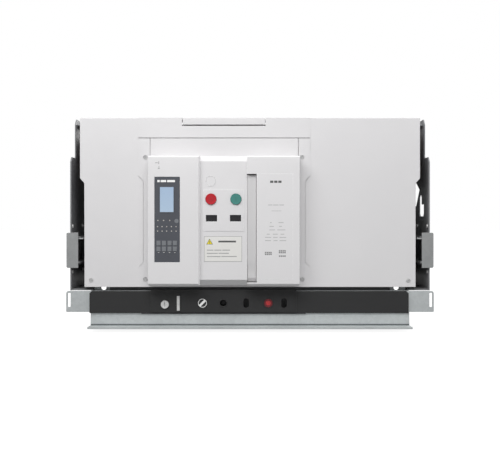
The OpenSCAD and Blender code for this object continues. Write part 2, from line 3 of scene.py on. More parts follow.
import bpy
from mathutils import Matrix, Vector


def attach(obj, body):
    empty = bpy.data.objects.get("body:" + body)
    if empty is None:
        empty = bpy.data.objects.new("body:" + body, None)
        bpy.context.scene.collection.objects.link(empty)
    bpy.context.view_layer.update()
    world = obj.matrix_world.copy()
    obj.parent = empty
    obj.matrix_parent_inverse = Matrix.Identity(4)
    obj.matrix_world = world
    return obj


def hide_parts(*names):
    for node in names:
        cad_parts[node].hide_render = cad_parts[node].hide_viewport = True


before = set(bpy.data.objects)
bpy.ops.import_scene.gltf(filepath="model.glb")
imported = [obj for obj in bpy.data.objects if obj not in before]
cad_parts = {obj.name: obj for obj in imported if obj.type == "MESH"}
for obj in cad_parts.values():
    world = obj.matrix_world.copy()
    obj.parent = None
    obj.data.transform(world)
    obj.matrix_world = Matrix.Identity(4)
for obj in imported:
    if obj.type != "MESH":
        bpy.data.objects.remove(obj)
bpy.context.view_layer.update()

# ------------------------------------------------------------------ Studio
# The breaker stands on a plain floor that looks white to the camera and mid grey to the light. Soft boxes
# light it from the front, the side, the top and the back, in an even surround. The lens looks straight at
# the front.
cover_plane = -0.178
lens_height = 0.2264

bpy.ops.object.select_all(action="DESELECT")
bpy.ops.object.camera_add(location=(0, cover_plane - 2.0, lens_height), rotation=(math.radians(90), 0, 0))
camera = bpy.context.object
camera.data.sensor_width = 36
camera.data.lens = 67.3
camera.data.clip_end = 200
bpy.context.scene.camera = camera
bpy.context.scene.view_settings.view_transform = "Standard"
bpy.context.scene.view_settings.look = "None"


def soft_box(name, place, aim, width, height, power, tint=(1, 1, 1)):
    bpy.ops.object.light_add(type="AREA", location=place)
    lamp = bpy.context.object
    lamp.name = name
    lamp.data.shape = "RECTANGLE"
    lamp.data.size = width
    lamp.data.size_y = height
    lamp.data.energy = power
    lamp.data.color = tint
    lamp.rotation_euler = (Vector(aim) - Vector(place)).to_track_quat("-Z", "Y").to_euler()


soft_box("key_box", (-0.35, -1.35, 1.45), (0, -0.15, 0.32), 2.1, 0.7, 29)
soft_box("side_box", (2.8, -0.75, 0.75), (0, -0.15, 0.25), 0.9, 1.2, 9, (0.98, 0.99, 1.0))
soft_box("top_box", (0.1, 0.0, 2.0), (0, -0.05, 0.2), 1.8, 1.2, 10)
soft_box("back_box", (0.9, 2.6, 1.3), (0, 0.1, 0.2), 1.6, 1.0, 26)

surround = bpy.data.worlds.new("white_surround")
bpy.context.scene.world = surround
surround.use_nodes = True
surround.node_tree.nodes.clear()
sky = surround.node_tree.nodes.new("ShaderNodeBackground")
sky.inputs["Strength"].default_value = 0.40
backdrop = surround.node_tree.nodes.new("ShaderNodeBackground")
backdrop.inputs["Strength"].default_value = 1.0
backdrop.inputs["Color"].default_value = (1, 1, 1, 1)
sky.inputs["Color"].default_value = (0.98, 0.99, 1.0, 1)
seen = surround.node_tree.nodes.new("ShaderNodeLightPath")
either = surround.node_tree.nodes.new("ShaderNodeMixShader")
world_out = surround.node_tree.nodes.new("ShaderNodeOutputWorld")
surround.node_tree.links.new(seen.outputs["Is Camera Ray"], either.inputs[0])
surround.node_tree.links.new(sky.outputs[0], either.inputs[1])
surround.node_tree.links.new(backdrop.outputs[0], either.inputs[2])
surround.node_tree.links.new(either.outputs[0], world_out.inputs["Surface"])

bpy.ops.mesh.primitive_plane_add(size=60, location=(0, 0, -0.0005))
floor = bpy.context.object
floor.name = "floor"
bpy.ops.object.transform_apply(location=True, rotation=True, scale=True)
floor_paint = bpy.data.materials.new("floor_paint")
floor_paint.use_nodes = True
floor_shader = floor_paint.node_tree.nodes["Principled BSDF"]
floor_shader.inputs["Base Color"].default_value = (0.33, 0.33, 0.33, 1)
floor_shader.inputs["Roughness"].default_value = 0.9
floor_shader.inputs["Specular IOR Level"].default_value = 0.0
floor_shader.inputs["Emission Color"].default_value = (1, 1, 1, 1)
floor_ray = floor_paint.node_tree.nodes.new("ShaderNodeLightPath")
lit = floor_paint.node_tree.nodes.new("ShaderNodeMath")
lit.operation = "MULTIPLY"
lit.inputs[1].default_value = 0.93
floor_paint.node_tree.links.new(floor_ray.outputs["Is Camera Ray"], lit.inputs[0])
floor_paint.node_tree.links.new(lit.outputs[0], floor_shader.inputs["Emission Strength"])
floor.data.materials.append(floor_paint)


# ------------------------------------------------------------------ Base tray
# A folded tray of galvanised sheet: its front edge runs out as a lip, its face stands behind the racking
# bar. Folded on a brake and spot welded, so the edges are barely broken and the zinc shows its spangle.
def new_group(name, ins, outs):
    group = bpy.data.node_groups.new(name, "ShaderNodeTree")
    for label, kind, value in ins:
        socket = group.interface.new_socket(label, in_out="INPUT", socket_type=kind)
        socket.default_value = value
    for label, kind in outs:
        group.interface.new_socket(label, in_out="OUTPUT", socket_type=kind)
    return group, group.nodes.new("NodeGroupInput"), group.nodes.new("NodeGroupOutput")


def place(tree, kind, settings=None, **inputs):
    n = tree.nodes.new("ShaderNode" + kind)
    for key, value in (settings or {}).items():
        setattr(n, key, value)
    for key, value in inputs.items():
        socket = n.inputs[int(key[1:])] if key[0] == "_" else n.inputs[key.replace("_", " ")]
        if isinstance(value, bpy.types.NodeSocket):
            tree.links.new(value, socket)
        else:
            socket.default_value = value
    return n


def remap(tree, value, low, high, to_low=0.0, to_high=1.0):
    return place(tree, "MapRange", {"clamp": True}, _0=value, _1=low, _2=high, _3=to_low,
                 _4=to_high).outputs[0]


def blend_colour(tree, amount, first, second, way="MIX"):
    return place(tree, "Mix", {"data_type": "RGBA", "blend_type": way}, _0=amount, _6=first,
                 _7=second).outputs[2]


# Fine moulded or sprayed grain: slow mottling of the colour, quick grain in the height and the roughness
grain, g_in, g_out = new_group(
    "surface_grain",
    [("Colour", "NodeSocketColor", (1, 1, 1, 1)), ("Mottle", "NodeSocketFloat", 0.1),
     ("Mottle Scale", "NodeSocketFloat", 12.0), ("Grain Scale", "NodeSocketFloat", 900.0),
     ("Roughness", "NodeSocketFloat", 0.5), ("Spread", "NodeSocketFloat", 0.1)],
    [("Colour", "NodeSocketColor"), ("Roughness", "NodeSocketFloat"), ("Height", "NodeSocketFloat")])
spot = place(grain, "TexCoord").outputs["Object"]
slow = place(grain, "TexNoise", Vector=spot, Scale=g_in.outputs["Mottle Scale"], Detail=5.0, Roughness=0.6)
quick = place(grain, "TexNoise", Vector=spot, Scale=g_in.outputs["Grain Scale"], Detail=2.0, Roughness=0.5)
dark = place(grain, "Mix", {"data_type": "RGBA", "blend_type": "MULTIPLY"}, _0=g_in.outputs["Mottle"],
             _6=g_in.outputs["Colour"], _7=place(grain, "CombineColor",
             Red=remap(grain, slow.outputs[0], 0.3, 0.7, 0.45, 1.25),
                                                 Green=remap(grain, slow.outputs[0], 0.3, 0.7, 0.45, 1.25),
                                                 Blue=remap(grain, slow.outputs[0], 0.3, 0.7, 0.47,
                                                 1.2)).outputs[0])
wander = place(grain, "Math", {"operation": "MULTIPLY_ADD"},
               _0=place(grain, "Math", {"operation": "SUBTRACT"}, _0=slow.outputs[0], _1=0.5).outputs[0],
               _1=g_in.outputs["Spread"], _2=g_in.outputs["Roughness"])
flick = place(grain, "Math", {"operation": "MULTIPLY_ADD"},
              _0=place(grain, "Math", {"operation": "SUBTRACT"}, _0=quick.outputs[0], _1=0.5).outputs[0],
              _1=g_in.outputs["Spread"], _2=wander.outputs[0])
grain.links.new(dark.outputs[2], g_out.inputs["Colour"])
grain.links.new(flick.outputs[0], g_out.inputs["Roughness"])
grain.links.new(quick.outputs[0], g_out.inputs["Height"])

# Edge wear and painted highlight: a paler colour along the edges, real rubbing on most finishes and a painted
# highlight on the fascia. The mask is one where a rounded normal leaves the true one, broken up by noise
wear_and_highlight_group, w_in, w_out = new_group(
    "edge_wear_and_highlight",
    [("Colour", "NodeSocketColor", (1, 1, 1, 1)), ("Worn Colour", "NodeSocketColor", (1, 1, 1, 1)),
     ("Amount", "NodeSocketFloat", 0.5), ("Width", "NodeSocketFloat", 0.0012)],
    [("Colour", "NodeSocketColor"), ("Mask", "NodeSocketFloat")])
rounded = place(wear_and_highlight_group, "Bevel", {"samples": 4}, Radius=w_in.outputs["Width"])
true_normal = place(wear_and_highlight_group, "NewGeometry").outputs["Normal"]
agree = place(wear_and_highlight_group, "VectorMath", {"operation": "DOT_PRODUCT"}, _0=rounded.outputs[0], _1=true_normal)
edge = remap(wear_and_highlight_group, agree.outputs["Value"], 0.995, 0.86)
edge_breakup = place(wear_and_highlight_group, "TexNoise", Vector=place(wear_and_highlight_group, "TexCoord").outputs["Object"], Scale=260.0, Detail=4.0)
broken = place(wear_and_highlight_group, "Math", {"operation": "MULTIPLY"}, _0=edge, _1=remap(wear_and_highlight_group, edge_breakup.outputs[0], 0.38, 0.62))
mask = place(wear_and_highlight_group, "Math", {"operation": "MULTIPLY"}, _0=broken.outputs[0], _1=w_in.outputs["Amount"])
wear_and_highlight_group.links.new(blend_colour(wear_and_highlight_group, mask.outputs[0], w_in.outputs["Colour"], w_in.outputs["Worn Colour"]),
               w_out.inputs["Colour"])
wear_and_highlight_group.links.new(mask.outputs[0], w_out.inputs["Mask"])

# Dust: settles on what faces up
dust, d_in, d_out = new_group(
    "settled_dust",
    [("Colour", "NodeSocketColor", (1, 1, 1, 1)), ("Amount", "NodeSocketFloat", 0.2)],
    [("Colour", "NodeSocketColor"), ("Mask", "NodeSocketFloat")])
upward = place(dust, "SeparateXYZ", Vector=place(dust, "NewGeometry").outputs["Normal"]).outputs["Z"]
drift = place(dust, "TexNoise", Vector=place(dust, "TexCoord").outputs["Object"], Scale=35.0, Detail=6.0)
lies = place(dust, "Math", {"operation": "MULTIPLY"}, _0=remap(dust, upward, 0.5, 1.0),
             _1=remap(dust, drift.outputs[0], 0.35, 0.75))
film = place(dust, "Math", {"operation": "MULTIPLY"}, _0=lies.outputs[0], _1=d_in.outputs["Amount"])
dust.links.new(blend_colour(dust, film.outputs[0], d_in.outputs["Colour"], (0.55, 0.53, 0.49, 1)),
               d_out.inputs["Colour"])
dust.links.new(film.outputs[0], d_out.inputs["Mask"])


def finish(name, colour, roughness, metallic=0.0, mottle=0.1, mottle_scale=12.0, grain_scale=900.0,
           spread=0.1,
           bump=0.1, depth=0.0002, worn=None, wear_highlight_amount=0.5, wear_highlight_width=0.0012, dusty=0.15, pattern=None):
    """A finish from the shared effects: grain, then an optional pattern of its own, edge wear (a painted
    highlight on the fascia) and dust.
    """
    m = bpy.data.materials.new(name)
    m.use_nodes = True
    tree = m.node_tree
    shader = tree.nodes["Principled BSDF"]
    shader.inputs["Metallic"].default_value = metallic
    base = (*colour, 1)
    height = None
    if pattern:
        base, height = pattern(tree, base)
    body = place(tree, "Group", {"node_tree": grain}, Colour=base, Mottle=mottle, Mottle_Scale=mottle_scale,
                 Grain_Scale=grain_scale, Roughness=roughness, Spread=spread)
    shade = body.outputs["Colour"]
    # The paler edge colour is real wear on most finishes and a painted highlight on the fascia.
    if worn:
        worn_and_highlit = place(tree, "Group", {"node_tree": wear_and_highlight_group}, Colour=shade, Worn_Colour=(*worn, 1),
                       Amount=wear_highlight_amount, Width=wear_highlight_width)
        shade = worn_and_highlit.outputs["Colour"]
    if dusty:
        shade = place(tree, "Group", {"node_tree": dust}, Colour=shade, Amount=dusty).outputs["Colour"]
    tree.links.new(shade, shader.inputs["Base Color"])
    tree.links.new(body.outputs["Roughness"], shader.inputs["Roughness"])
    rise = body.outputs["Height"]
    if height is not None:
        rise = place(tree, "Math", {"operation": "ADD"}, _0=rise, _1=height).outputs[0]
    swell = place(tree, "Bump", Strength=bump, Distance=depth, Height=rise)
    tree.links.new(swell.outputs[0], shader.inputs["Normal"])
    return m


def shaded(tree, base, tone):
    """The base colour, made lighter or darker by the tone."""
    grey = place(tree, "CombineColor", Red=tone, Green=tone, Blue=tone).outputs[0]
    return blend_colour(tree, 1.0, base, grey, "MULTIPLY")


def spangle(tree, base):
    spot = place(tree, "TexCoord").outputs["Object"]
    warped = place(tree, "VectorMath", {"operation": "MULTIPLY_ADD"},
                   _0=place(tree, "TexNoise", Vector=spot, Scale=60.0).outputs[1],
                   _1=(0.006, 0.006, 0.006), _2=spot)
    flakes = place(tree, "TexVoronoi", Vector=warped.outputs[0], Scale=170.0)
    tone = place(tree, "SeparateColor", Color=flakes.outputs["Color"]).outputs[0]
    lighter = remap(tree, tone, 0.0, 1.0, 0.955, 1.035)
    return shaded(tree, base, lighter), place(tree, "Math", {"operation": "MULTIPLY"}, _0=tone,
                                              _1=0.3).outputs[0]


galvanised = finish("galvanised_sheet", (0.62, 0.65, 0.655), 0.46, metallic=0.55, mottle=0.13, mottle_scale=9,
                    grain_scale=420, spread=0.16, bump=0.10, worn=(0.70, 0.71, 0.71), wear_highlight_amount=0.5,
                    pattern=spangle)


def select_nothing():
    if bpy.context.object and bpy.context.object.mode != "OBJECT":
        bpy.ops.object.mode_set(mode="OBJECT")
    bpy.ops.object.select_all(action="DESELECT")


def alone(obj):
    """Selects one object and makes it the active one."""
    select_nothing()
    obj.select_set(True)
    bpy.context.view_layer.objects.active = obj


def soften(obj, width, steps=2, angle=35):
    """Breaks every edge sharper than the angle and smooths the shading over it."""
    alone(obj)
    rounding = obj.modifiers.new("rounding", "BEVEL")
    rounding.width = width
    rounding.segments = steps
    rounding.limit_method = "ANGLE"
    rounding.angle_limit = math.radians(angle)
    rounding.harden_normals = False
    bpy.ops.object.modifier_apply(modifier=rounding.name)
    bpy.ops.object.shade_smooth_by_angle(angle=math.radians(30))
    level = obj.modifiers.new("flat_faces", "WEIGHTED_NORMAL")
    level.weight = 100
    level.keep_sharp = True
    bpy.ops.object.modifier_apply(modifier=level.name)


def round_edges(obj, choose, width, steps=4):
    """Rounds the edges that choose(middle, direction) picks."""
    alone(obj)
    mesh = obj.data
    for item in (*mesh.polygons, *mesh.vertices):
        item.select = False
    for e in mesh.edges:
        a, b = mesh.vertices[e.vertices[0]].co, mesh.vertices[e.vertices[1]].co
        e.select = bool(choose((a + b) / 2, (b - a).normalized()))
    bpy.ops.object.mode_set(mode="EDIT")
    bpy.ops.mesh.select_mode(type="EDGE")
    bpy.ops.mesh.bevel(offset=width, offset_type="OFFSET", segments=steps, affect="EDGES", clamp_overlap=True)
    bpy.ops.object.mode_set(mode="OBJECT")


def from_node(node, name):
    """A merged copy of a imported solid, ready to be worked on."""
    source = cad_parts[node]
    obj = bpy.data.objects.new(name, source.data.copy())
    bpy.context.collection.objects.link(obj)
    alone(obj)
    bpy.ops.object.mode_set(mode="EDIT")
    bpy.ops.mesh.select_all(action="SELECT")
    bpy.ops.mesh.remove_doubles(threshold=0.000002)
    bpy.ops.mesh.dissolve_limited(angle_limit=math.radians(1))
    bpy.ops.object.mode_set(mode="OBJECT")
    bpy.ops.mesh.customdata_custom_splitnormals_clear()
    return obj


def settle(obj, body, paint, slot, *nodes):
    """Gives a finished piece its paint, the body it rides on and the solids it stands for."""
    alone(obj)
    obj.data.materials.clear()
    obj.data.materials.append(paint)
    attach(obj, body)
    if nodes:
        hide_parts(*nodes)
    return obj


def dress(node, name, width, steps, body, paint, slot):
    """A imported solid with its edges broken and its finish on."""
    obj = from_node(node, name)
    soften(obj, width, steps)
    return settle(obj, body, paint, slot, node)


dress("base_plate", "base_tray", 0.0007, 2, "cradle", galvanised, "galvanised_steel")

# ------------------------------------------------------------------ Mounting feet
# Two small pressed plates of the same galvanised sheet at the tray's sides. Each has a tall slot for a
# screw into the cell's post, and its free corners are rounded.
for side, sign in (("left", -1), ("right", 1)):
    foot = from_node("foot_" + side, "mounting_foot_" + side)
    round_edges(foot, lambda at, way: abs(way.y) > 0.9 and abs(at.x) > 0.3935 and at.z > 0.08, 0.006, 5)
    round_edges(foot, lambda at, way: abs(way.y) > 0.9 and abs(at.x) > 0.3935 and at.z < 0.045, 0.002, 3)
    soften(foot, 0.0005, 2)
    settle(foot, "cradle", galvanised, "galvanised_steel", "foot_" + side)

# ------------------------------------------------------------------ Side walls, cross plate and outer guides
# Steel plate, cut and folded, then powder coated dark grey: a slight orange peel, slightly paler rubbed
# edges.
powder_coat = finish("powder_coat", (0.19, 0.193, 0.200), 0.42, mottle=0.12, grain_scale=330, spread=0.10,
                     bump=0.16,
                     depth=0.0003, worn=(0.20, 0.21, 0.22), wear_highlight_amount=0.6, wear_highlight_width=0.0015, dusty=0.12)
for side in ("left", "right"):
    dress("side_wall_" + side, "cradle_wall_" + side, 0.0009, 2, "cradle", powder_coat, "dark_steel")
    dress("rail_guide_" + side, "outer_guide_" + side, 0.0006, 2, "cradle", powder_coat, "dark_steel")
dress("front_cross_plate", "cross_plate", 0.0005, 2, "cradle", powder_coat, "dark_steel")
dress("top_bridge", "top_cross_strap", 0.0007, 2, "cradle", powder_coat, "dark_steel")

# ------------------------------------------------------------------ Racking bar
# One long glass-filled nylon moulding, black and finely grained, clipped over the tray's face. Its middle
# field stands proud and frames the key lock, padlock tab, position dial, crank hole, peg holes and release
# button.
black_nylon = finish("black_nylon", (0.018, 0.018, 0.0185), 0.62, mottle=0.10, grain_scale=1100, spread=0.10,
                     bump=0.12,
                     worn=(0.12, 0.12, 0.12), wear_highlight_amount=0.5, dusty=0.15)
dress("racking_bar", "racking_bar_moulding", 0.0007, 2, "cradle", black_nylon, "bar_black")


def block(name, low, high):
    """A box between two corners, given in millimetres."""
    select_nothing()
    low, high = Vector(low) / 1000, Vector(high) / 1000
    bpy.ops.mesh.primitive_cube_add(size=1, location=(low + high) / 2)
    obj = bpy.context.object
    obj.name = name
    obj.scale = high - low
    bpy.ops.object.transform_apply(location=True, rotation=True, scale=True)
    return obj


def rod_y(name, x, z, front, back, radius, sides=48):
    """A round bar along Y, given in millimetres."""
    select_nothing()
    bpy.ops.mesh.primitive_cylinder_add(vertices=sides, radius=radius / 1000, depth=(back - front) / 1000,
                                        location=(x / 1000, (front + back) / 2000, z / 1000),
                                        rotation=(math.radians(90), 0, 0))
    obj = bpy.context.object
    obj.name = name
    bpy.ops.object.transform_apply(location=True, rotation=True, scale=True)
    return obj


def carve(obj, *tools):
    """Cuts the tools out of the piece and throws them away."""
    for tool in tools:
        alone(obj)
        cut = obj.modifiers.new("cut", "BOOLEAN")
        cut.operation = "DIFFERENCE"
        cut.solver = "EXACT"
        cut.object = tool
        bpy.ops.object.modifier_apply(modifier=cut.name)
        bpy.data.objects.remove(tool)
    return obj


def gather(name, parts):
    """Joins like pieces into one object."""
    alone(parts[0])
    for p in parts[1:]:
        p.select_set(True)
    bpy.ops.object.join()
    parts[0].name = name
    return parts[0]


def press_in(obj, choose, rim, depth):
    """Insets the faces that choose(middle, normal) picks, then sinks or raises them."""
    alone(obj)
    mesh = obj.data
    for item in (*mesh.edges, *mesh.vertices):
        item.select = False
    for p in mesh.polygons:
        p.select = bool(choose(p.center, p.normal))
    bpy.ops.object.mode_set(mode="EDIT")
    bpy.ops.mesh.select_mode(type="FACE")
    bpy.ops.mesh.inset(thickness=rim, depth=depth, use_even_offset=True)
    bpy.ops.object.mode_set(mode="OBJECT")


def front_face(at, normal):
    return normal.y < -0.9


def front_middle(x, z):
    """Picks the forward face whose middle is at x, z, in millimetres."""
    near = 0.001
    return lambda at, normal: (front_face(at, normal) and abs(at.x - x / 1000) < near
                               and abs(at.z - z / 1000) < near)


bar_face = -184.0
control_z = 59.7
crank_x = -57.0
release_x = 39.1
dial_x = -101.5
key_x = -181.6
key_z = 57.1
rings = []
for x, z, r, wide in ((crank_x, control_z, 7.4, 1.5), (release_x, control_z, 9.7, 1.2),
                      (dial_x, control_z, 10.5, 1.1), (key_x, key_z, 8.7, 1.4)):
    ring = rod_y("hole_collar", x, z, bar_face - 0.8, bar_face + 0.6, r + wide)
    carve(ring, rod_y("hole", x, z, bar_face - 4, bar_face + 4, r))
    soften(ring, 0.00025, 2)
    rings.append(ring)
settle(gather("bar_collars", rings), "cradle", black_nylon, "bar_black")

# A dark grey bead along the fold between the tray's face and its lip is painted shade: it draws the dark
# shadow line there.
fold_shade_paint = finish("fold_painted_shade", (0.105, 0.120, 0.125), 0.55, mottle=0.15, mottle_scale=40, grain_scale=500,
                 bump=0.1, dusty=0.1)
bead = block("fold_bead", (-340.5, -180.9, 11.9), (340.5, -178.0, 14.9))
soften(bead, 0.0009, 3)
settle(bead, "cradle", fold_shade_paint, "dark_steel")
# Two thin tabs stand against the cross plate, cut out round its notches.
tabs = []
for sign in (-1, 1):
    x0, x1 = sorted((sign * 337.0, sign * 303.5))
    tab_plate = block("gap_tab", (x0, -151.7, 68), (x1, -150.1, 93.0))
    carve(tab_plate, rod_y("hole", sign * 317, 91, -155, -148, 5.7))
    soften(tab_plate, 0.0003, 2)
    tabs.append(tab_plate)
settle(gather("gap_tabs", tabs), "cradle", galvanised, "galvanised_steel")

# ------------------------------------------------------------------ Key lock
# A turned zinc-alloy cylinder, nickel plated, with a stepped face and a keyway. It turns a quarter turn.
def turning_marks(tree, base):
    spot = place(tree, "TexCoord").outputs["Object"]
    rings = place(tree, "TexNoise", Vector=place(tree, "Mapping", Vector=spot, Scale=(1, 40, 1)).outputs[0],
                  Scale=90.0, Detail=3.0)
    tone = remap(tree, rings.outputs[0], 0.3, 0.7, 0.82, 1.08)
    return shaded(tree, base, tone), rings.outputs[0]


nickel = finish("nickel_plate", (0.80, 0.80, 0.79), 0.34, metallic=0.45, mottle=0.08, grain_scale=700,
                spread=0.12,
                bump=0.08, worn=(0.8, 0.8, 0.78), wear_highlight_amount=0.4, dusty=0.05, pattern=turning_marks)
key = rod_y("lock_cylinder", key_x, key_z, -187.0, -162.0, 8.5)
press_in(key, front_face, 0.0014, -0.0005)
press_in(key, front_middle(key_x, key_z), 0.002, 0.0003)
carve(key, block("keyway", (-182.2, -189, 52.6), (-181.0, -181, 61.6)))
soften(key, 0.0003, 2)
settle(key, "key", nickel, "bright_steel", "key_cylinder")

# ------------------------------------------------------------------ Padlock tab
# A flat stamping of bright plated steel that pulls forward; the hole takes a padlock's shackle.
dress("padlock_tab", "padlock_slide", 0.0006, 3, "tab", nickel, "bright_steel")

# ------------------------------------------------------------------ Position dial
# A black disc on a thin steel shaft, with a printed white ring and one white bar that points at the three
# positions.
black_print = finish("dial_black", (0.02, 0.02, 0.021), 0.40, mottle=0.08, bump=0.08, dusty=0.05)
white_print = finish("print_white", (0.92, 0.92, 0.91), 0.45, mottle=0.06, bump=0.05, dusty=0.05)
dial_parts = [rod_y("dial_disc", dial_x, control_z, bar_face + 0.8, -174.0, 10.3),
              rod_y("dial_shaft", dial_x, control_z, -175.0, -154.0, 3.0)]
press_in(dial_parts[0], front_face, 0.0008, -0.0003)
for part in dial_parts:
    soften(part, 0.0003, 2)
settle(gather("dial_disc", dial_parts), "dial", black_print, "bar_black", "position_dial")
dial_ring = rod_y("dial_ring", dial_x, control_z, bar_face + 0.7, bar_face + 1.2, 9.4)
carve(dial_ring, rod_y("inside", dial_x, control_z, bar_face - 2, bar_face + 3, 8.1))
pointer = block("dial_pointer", (-103.9, bar_face + 0.6, control_z - 8.7),
                (-99.1, bar_face + 1.2, control_z + 8.7))
alone(pointer)
bpy.ops.object.mode_set(mode="EDIT")
bpy.ops.mesh.select_all(action="SELECT")
bpy.ops.transform.rotate(value=math.radians(-45), orient_axis="Y",
                         center_override=(dial_x / 1000, bar_face / 1000, control_z / 1000))
bpy.ops.object.mode_set(mode="OBJECT")
settle(gather("dial_print", [dial_ring, pointer]), "dial", white_print, "bar_black")


# ------------------------------------------------------------------ Release button
# A glossy red cap, slightly dished, standing in a dark red bush in a round well of the bar.
def gloss_cap(name, colour, roughness=0.22):
    m = finish(name, colour, roughness, mottle=0.06, grain_scale=1500, spread=0.05, bump=0.03,
               worn=tuple(min(1, c * 1.5 + 0.06) for c in colour),
               wear_highlight_amount=0.35, dusty=0.08)
    m.node_tree.nodes["Principled BSDF"].inputs["Coat Weight"].default_value = 0.25
    m.node_tree.nodes["Principled BSDF"].inputs["Coat Roughness"].default_value = 0.12
    return m


red_cap = gloss_cap("red_cap", (0.50, 0.035, 0.04))
release = rod_y("release_cap", release_x, control_z, bar_face + 0.5, -166.0, 5.3)
press_in(release, front_face, 0.0012, 0.0)
press_in(release, front_middle(release_x, control_z), 0.0012, -0.0005)
soften(release, 0.0004, 3)
settle(release, "release", red_cap, "button_red", "release_button")
maroon = gloss_cap("maroon_bush", (0.19, 0.018, 0.024), 0.35)
bush = rod_y("release_bush", release_x, control_z, bar_face + 1.0, bar_face + 2.4, 9.2)
carve(bush, rod_y("hole", release_x, control_z, bar_face - 2, bar_face + 6, 5.6))
soften(bush, 0.0004, 2)
settle(bush, "cradle", maroon, "button_red")

# ------------------------------------------------------------------ Racking screw, nut and bearing
# Turned and milled steel: a crank on the hexagon turns the blackened screw, which pulls the oiled nut
# along. The pole shaft and the charging shaft are of the same oiled steel.
oiled_steel = finish("oiled_steel", (0.42, 0.42, 0.42), 0.34, metallic=0.95, mottle=0.2, mottle_scale=25,
                     grain_scale=600,
                     spread=0.18, bump=0.12, worn=(0.68, 0.68, 0.68), wear_highlight_amount=0.5, dusty=0.1,
                     pattern=turning_marks)
black_oxide = finish("black_oxide", (0.040, 0.040, 0.042), 0.40, metallic=0.6, mottle=0.2, mottle_scale=30,
                     grain_scale=600,
                     spread=0.15, bump=0.1, worn=(0.3, 0.3, 0.3), wear_highlight_amount=0.2, dusty=0.05,
                     pattern=turning_marks)
for node, name, body, paint in (("racking_screw", "racking_spindle", "screw", black_oxide),
                                ("racking_nut", "racking_carriage_nut", "nut", oiled_steel),
                                ("screw_bearing", "spindle_bearing", "cradle", oiled_steel),
                                ("main_shaft", "pole_shaft_bar", "pole_shaft", oiled_steel),
                                ("charging_shaft", "charging_camshaft", "drive", oiled_steel)):
    dress(node, name, 0.0005, 2, body, paint, "bright_steel")

# ------------------------------------------------------------------ Extension rails
# Galvanised channels that slide out of the walls' guides. Each ends in a tall front plate to pull it by.
# The rolled strip's zinc is a darker copy of the tray's: painted shade.
shaded_rail_zinc = finish("shaded_rail_zinc", (0.43, 0.44, 0.44), 0.42, metallic=0.6, mottle=0.14, mottle_scale=14,
                   grain_scale=420,
                   spread=0.14, bump=0.10, worn=(0.55, 0.56, 0.56), wear_highlight_amount=0.4, pattern=spangle)


def plate_corner(at, way):
    """The edges along Y at the outer corners of a rail's front plate."""
    return abs(way.y) > 0.9 and abs(at.x) > 0.3915 and (at.z > 0.2095 or at.z < 0.135)


for side in ("left", "right"):
    rail = from_node("rail_" + side, "extension_rail_" + side)
    round_edges(rail, plate_corner, 0.003, 4)
    soften(rail, 0.0005, 2)
    settle(rail, "rails", shaded_rail_zinc, "galvanised_steel", "rail_" + side)

# ------------------------------------------------------------------ Moulded parts behind the cover
# Thermoset glass-polyester mouldings in dark brown: the pole cases and the insulating wall at the back,
# with the streaks of the flow in the press. Arc chutes are a pale moulding, shutters a laminate sheet.
thermoset = finish("brown_thermoset", (0.105, 0.066, 0.052), 0.48, mottle=0.5, mottle_scale=22,
                   grain_scale=500, spread=0.2,
                   bump=0.15, worn=(0.22, 0.16, 0.13), wear_highlight_amount=0.5, dusty=0.3)
cream = finish("chute_moulding", (0.62, 0.58, 0.48), 0.6, mottle=0.25, mottle_scale=18, grain_scale=500,
               bump=0.15, dusty=0.3)
laminate = finish("laminate_sheet", (0.50, 0.42, 0.26), 0.45, mottle=0.3, mottle_scale=40, grain_scale=300,
                  bump=0.12, dusty=0.2)
for node, name, body, paint, slot, width in (
        ("front_case", "pole_case_front", "breaker", thermoset, "case_brown", 0.0012),
        ("rear_case", "pole_case_rear", "breaker", thermoset, "case_brown", 0.0012),
        ("rear_insulator", "insulating_wall", "cradle", thermoset, "case_brown", 0.0014),
        ("arc_chutes", "arc_chute_set", "breaker", cream, "chute_cream", 0.0008),
        ("upper_shutter", "shutter_plate_upper", "shutter_up", laminate, "shutter_sheet", 0.0004),
        ("lower_shutter", "shutter_plate_lower", "shutter_down", laminate, "shutter_sheet", 0.0004)):
    dress(node, name, width, 2, body, paint, slot)
pole_pitch = 115
ribs = []
for i in range(7):
    x = (i - 3) * pole_pitch
    rib = block("phase_rib", (x - 3.5, 161.5, 112), (x + 3.5, 172, 438))
    soften(rib, 0.0012, 2)
    ribs.append(rib)
settle(gather("insulating_ribs", ribs), "cradle", thermoset, "case_brown")

# ------------------------------------------------------------------ Copper
# Rolled copper, tinned where busbars bolt on at the back and bare at the contacts.
def rolled(tree, base):
    spot = place(tree, "TexCoord").outputs["Object"]
    lines = place(tree, "TexNoise", Vector=place(tree, "Mapping", Vector=spot, Scale=(60, 1, 60)).outputs[0],
                  Scale=14.0, Detail=4.0)
    tone = remap(tree, lines.outputs[0], 0.3, 0.7, 0.88, 1.06)
    return shaded(tree, base, tone), lines.outputs[0]


tinned = finish("tinned_copper", (0.66, 0.65, 0.63), 0.36, metallic=0.9, mottle=0.2, mottle_scale=30,
                grain_scale=500,
                spread=0.2, bump=0.08, worn=(0.72, 0.45, 0.32), wear_highlight_amount=0.35, dusty=0.15, pattern=rolled)
bare_copper = finish("bare_copper", (0.62, 0.30, 0.17), 0.32, metallic=0.95, mottle=0.3, mottle_scale=24,
                     grain_scale=500,
                     spread=0.2, bump=0.08, worn=(0.78, 0.5, 0.36), wear_highlight_amount=0.4, dusty=0.05,
                     pattern=rolled)
for node, name, body, paint, slot in (
        ("line_terminals", "line_terminal_bars", "cradle", tinned, "tinned_copper"),
        ("load_terminals", "load_terminal_bars", "cradle", tinned, "tinned_copper"),
        ("line_stabs", "line_stab_bars", "breaker", bare_copper, "copper"),
        ("load_stabs", "load_stab_bars", "breaker", bare_copper, "copper"),
        ("contact_fingers", "finger_bank", "cradle", bare_copper, "copper"),
        ("moving_contacts", "contact_arms", "contacts", bare_copper, "copper")):
    dress(node, name, 0.0007 if "finger" not in node else 0.0005, 2 if "finger" not in node else 1, body,
          paint, slot)

